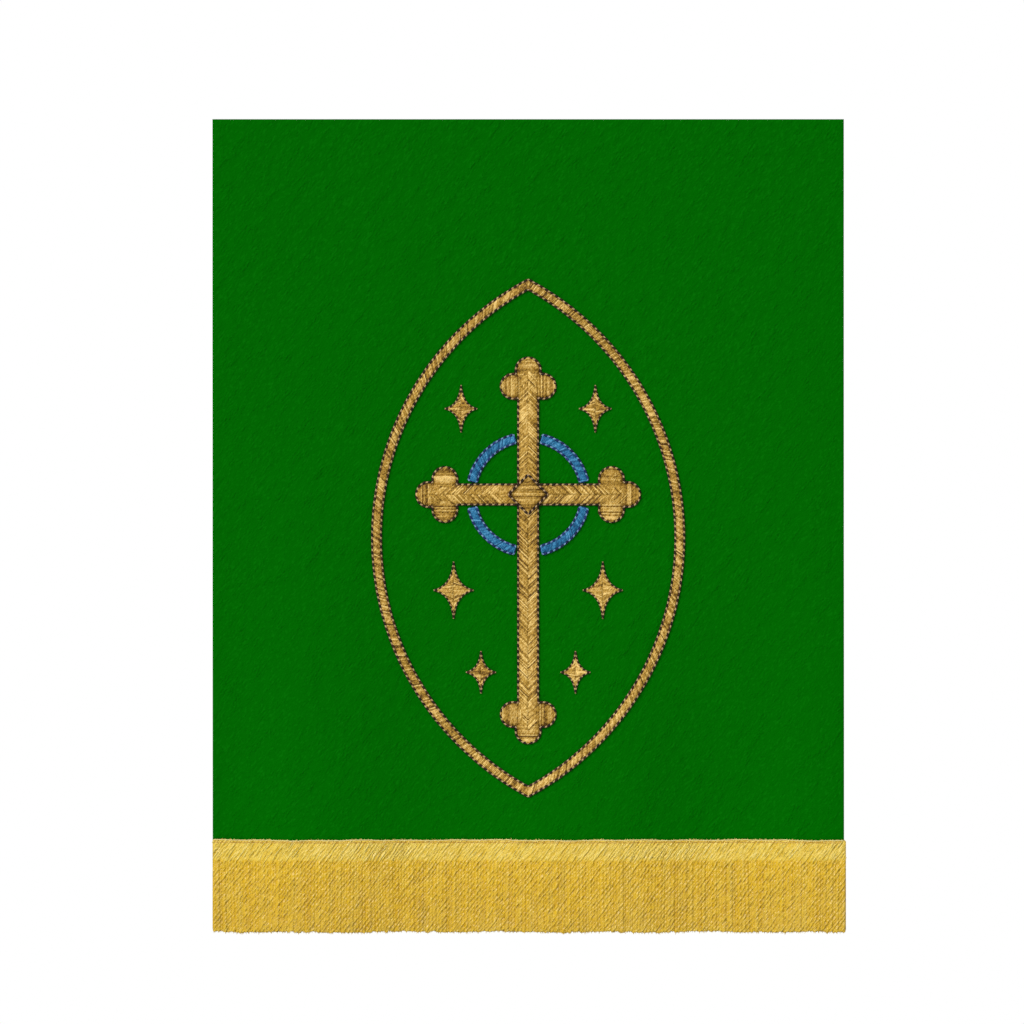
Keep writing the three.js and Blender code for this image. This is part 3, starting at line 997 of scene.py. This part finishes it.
def bind_heading(heap):
    """The row of stitches that sew the heading down."""
    seam = np.arange(FRINGE_LEFT + BINDING.start, FRINGE_RIGHT - BINDING.end, BINDING.pitch)
    share = np.linspace(0, 1, BINDING.steps)
    place = seam[:, None] + BINDING.length * share
    lift = BINDING.lift + BINDING.arch * np.sin(np.pi * share)
    centres = on_face(place, np.full(place.shape, HEADING_TOP + BINDING.drop), lift)
    heap.add(threads(centres, BINDING), BINDING_THREAD, chance.random(len(seam)))


def lay_selvedge(heap):
    """The thread along the heading's top edge."""
    left = FRINGE_LEFT + SELVEDGE.inset
    place = np.arange(left, FRINGE_RIGHT - SELVEDGE.inset, SELVEDGE.step)[None, :]
    uneven = SELVEDGE.unevenness * chance.standard_normal(place.shape)
    centres = on_face(place, heading_top(place) + SELVEDGE.drop + uneven, SELVEDGE.lift)
    heap.add(threads(centres, SELVEDGE, SIX_SIDED), SELVEDGE_THREAD)


def strand_paths(row, across, half_width, share):
    """Place, drop and lift of the centre of each strand at each step from its root to its tip."""
    one_each = (len(across), 1)
    tip = FALL_DROP - row.shorter + TIP_WAVE.height * np.sin(across / TIP_WAVE.length)
    tip = tip + STRAND_STRAY.tip * chance.standard_normal(len(across))
    root = HEADING_BOTTOM - ROOT.overlap
    drop = root + (tip - root)[:, None] * share
    place = across[:, None] + wave_sum(LEAN_WAVES, across)[:, None] * share ** 2
    place = place + STRAND_STRAY.lean * chance.standard_normal(one_each) * share
    place = np.clip(place, FRINGE_LEFT + half_width, FRINGE_RIGHT - half_width)
    rise = smoothstep(share, SKIRT_LIFT.starts, SKIRT_LIFT.ends)
    lift = SKIRT_LIFT.root + (SKIRT_LIFT.hem - SKIRT_LIFT.root) * rise
    lift = lift + row.forward - ROOT.sink * (1 - smoothstep(share, 0, ROOT.share))
    lift = lift + STRAND_STRAY.lift * chance.standard_normal(one_each) * share
    return place, drop, lift


def squared(angle):
    """Reach of a rounded square in a direction, as a share of its half width."""
    power = STRAND_SQUARENESS
    return (np.cos(angle) ** power + np.sin(angle) ** power) ** (-1 / power)


def strand_rings(row, place, drop, lift, half_width, share):
    """Rings of points round each strand, whose plies line up with those of the strands beside it."""
    hatch = (drop + HATCH_SLOPE * place) / (HATCH_SLOPE * row.half_width)
    hatch = hatch + wave_sum(TWIST_WAVES, place, drop)
    turn = hatch + STRAND_STRAY.turn * chance.standard_normal((len(place), 1))
    angle = turn[..., None] + corner_angles(row.section)
    taper = np.interp(share, (0, TIP.share, 1), (1, 1, TIP.width))
    reach = (half_width * taper)[..., None] * squared(angle)
    sideways = reach * np.cos(angle)
    outwards = STRAND_FLATNESS * reach * np.sin(angle) * np.array(row.section)
    return on_face(place[..., None] + sideways, drop[..., None], lift[..., None] + outwards)


def strand_shades(row, across, share):
    """Shade of each strand at each step: painted shade on a row that stands behind, darker towards the foot,
    and paler at the cut tip as painted light.
    """
    # Painted shade: a row that stands behind another is darker
    shade = SKIRT_SHADE - row.dimming + wave_sum(LOCK_WAVES, across)
    shade = shade + STRAND_STRAY.shade * chance.standard_normal(len(across))
    # Painted light: paler tips
    paler = TIP.paler * smoothstep(share, TIP.pale_share, 1)
    return shade[:, None] + paler - FOOT_DIMMING * share


def strand_row(row):
    """A row of plied strands side by side, frayed at their tips."""
    heap = Heap()
    girth = 1 + STRAND_UNEVENNESS * chance.uniform(-1, 1, row.count)
    across = FRINGE_LEFT + (FRINGE_RIGHT - FRINGE_LEFT) * (np.cumsum(girth) - girth / 2) / girth.sum()
    half_width = row.half_width * girth[:, None]
    share = np.linspace(0, 1, row.steps)
    place, drop, lift = strand_paths(row, across, half_width, share)
    rings = strand_rings(row, place, drop, lift, half_width, share)
    shade = strand_shades(row, across, share)
    heap.add(skinned(rings), shade=shade)
    fray(heap, rings[:, -1].mean(axis=1), -1, TIP.fray, shade[:, -1])
    return heap


def fray(heap, ends, way, reach, shade):
    """Loose fibres at the ends of yarns, upwards (1) or downwards (-1)."""
    count = len(ends) * FIBRES.count
    stray = chance.uniform(-FIBRES.stray, FIBRES.stray, (count, 3))
    roots = np.repeat(ends, FIBRES.count, axis=0) + stray
    roots[:, 2] -= way * FIBRES.root * reach
    rise = way * reach * chance.uniform(FIBRES.shortest, FIBRES.longest, count)
    spread = FIBRES.spread * chance.standard_normal((count, 2))
    tips = roots + stacked(spread[:, 0], spread[:, 1], rise)
    centres = np.stack([roots, (roots + tips) / 2, tips], axis=1)
    girth = FIBRE_GIRTH[None, :, None]
    fibres = sweep(centres, -way * girth * TO_THE_RIGHT, girth * TOWARDS_VIEWER, FOUR_SIDED)
    heap.add(fibres, shade=np.repeat(shade, FIBRES.count))


def make_fringe():
    heading = Heap()
    lay_core(heading)
    lay_heading_yarns(heading)
    bind_heading(heading)
    lay_selvedge(heading)
    return [
        heading.make("fringe_heading", "fringe", "fringe", HEADING),
        strand_row(FRONT_ROW).make("fringe_front_strands", "fringe", "fringe", (FRINGE_YARN,)),
        strand_row(BACK_ROW).make("fringe_back_strands", "fringe", "fringe", (FRINGE_YARN,)),
    ]


# Stage, light and camera: in metres, apart from the floor's grain, which is in millimetres

# The photograph's size, and where the panel's edges lie in it, in pixels
PHOTO_SIZE = 1024
PHOTO_PANEL_LEFT = 212.5
PHOTO_PANEL_RIGHT = 843.8
PHOTO_PANEL_TOP = 119.2

CAMERA_DISTANCE = 6.0
SENSOR_WIDTH = 36.0

FLOOR_DROP = 1.35
FLOOR_RADIUS = 4.0
FLOOR_SIDES = 96
FLOOR_GRAIN = (400, 400, 400)
FLOOR_COLOURS = ((0.3, (231.1, 231.1, 229.8)), (0.7, (236.15, 236.15, 234.9)))

# Light: where each sun shines from, its strength, and how wide it looks in degrees
SUNS = {
    "main_light": {"source": (-0.75, -1.0, 0.85), "strength": 2.0, "angle": 25},
    "back_light": {"source": (0.6, 1.0, 0.7), "strength": 0.9, "angle": 40},
}
AMBIENT_STRENGTH = 0.55
WHITE = (1, 1, 1, 1)


def make_camera():
    """A level camera square to the face, framed as in the photograph."""
    pixel = PANEL_WIDTH * MM / (PHOTO_PANEL_RIGHT - PHOTO_PANEL_LEFT)
    middle = (PHOTO_PANEL_LEFT + PHOTO_PANEL_RIGHT) / 2
    across = (PHOTO_SIZE / 2 - middle) * pixel
    drop = (PHOTO_SIZE / 2 - PHOTO_PANEL_TOP) * pixel
    camera = bpy.data.objects.new("camera", bpy.data.cameras.new("camera"))
    camera.location = (across, -CAMERA_DISTANCE, -drop)
    camera.rotation_euler = (math.pi / 2, 0, 0)
    camera.data.sensor_width = SENSOR_WIDTH
    camera.data.lens = SENSOR_WIDTH * CAMERA_DISTANCE / (PHOTO_SIZE * pixel)
    bpy.context.scene.collection.objects.link(camera)
    bpy.context.scene.camera = camera


def make_floor():
    mesh = bpy.data.meshes.new("floor")
    angles = np.linspace(0, 2 * np.pi, FLOOR_SIDES, endpoint=False)
    rim = [(FLOOR_RADIUS * math.cos(a), FLOOR_RADIUS * math.sin(a), -FLOOR_DROP) for a in angles]
    mesh.from_pydata(rim, [], [range(len(rim))])
    floor = bpy.data.objects.new("floor", mesh)
    bpy.context.scene.collection.objects.link(floor)
    finish = Finish("pale_floor", roughness=0.8, gloss=0.2)
    finish.colours(finish.noise(FLOOR_GRAIN), FLOOR_COLOURS)
    mesh.materials.append(finish.material)


def make_sun(name, source, strength, angle):
    """A soft sun that shines along the line from a place to the origin."""
    sun = bpy.data.lights.new(name, "SUN")
    sun.energy = strength
    sun.angle = math.radians(angle)
    lamp = bpy.data.objects.new(name, sun)
    lamp.rotation_euler = Vector(source).to_track_quat("Z", "Y").to_euler()
    bpy.context.scene.collection.objects.link(lamp)


def make_light():
    """A surround that is white to the camera and lights softly, and the suns."""
    world = bpy.data.worlds.new("studio")
    bpy.context.scene.world = world
    world.use_nodes = True
    tree = world.node_tree
    ambient = tree.nodes["Background"]
    ambient.inputs["Color"].default_value = WHITE
    ambient.inputs["Strength"].default_value = AMBIENT_STRENGTH
    white = tree.nodes.new("ShaderNodeBackground")
    white.inputs["Color"].default_value = WHITE
    path = tree.nodes.new("ShaderNodeLightPath")
    mix = tree.nodes.new("ShaderNodeMixShader")
    tree.links.new(path.outputs["Is Camera Ray"], mix.inputs[0])
    tree.links.new(ambient.outputs[0], mix.inputs[1])
    tree.links.new(white.outputs[0], mix.inputs[2])
    tree.links.new(mix.outputs[0], tree.nodes["World Output"].inputs["Surface"])
    for name, sun in SUNS.items():
        make_sun(name, **sun)


make_camera()
make_floor()
make_light()
bpy.context.scene.view_settings.view_transform = "Standard"

cloth_heap = make_cloth()
sew_hems(cloth_heap)
sew_mitres(cloth_heap)
sew_seams(cloth_heap)
cloth = cloth_heap.make("cloth", "panel", "cloth", CLOTH)
fringe = make_fringe()
device = make_device()
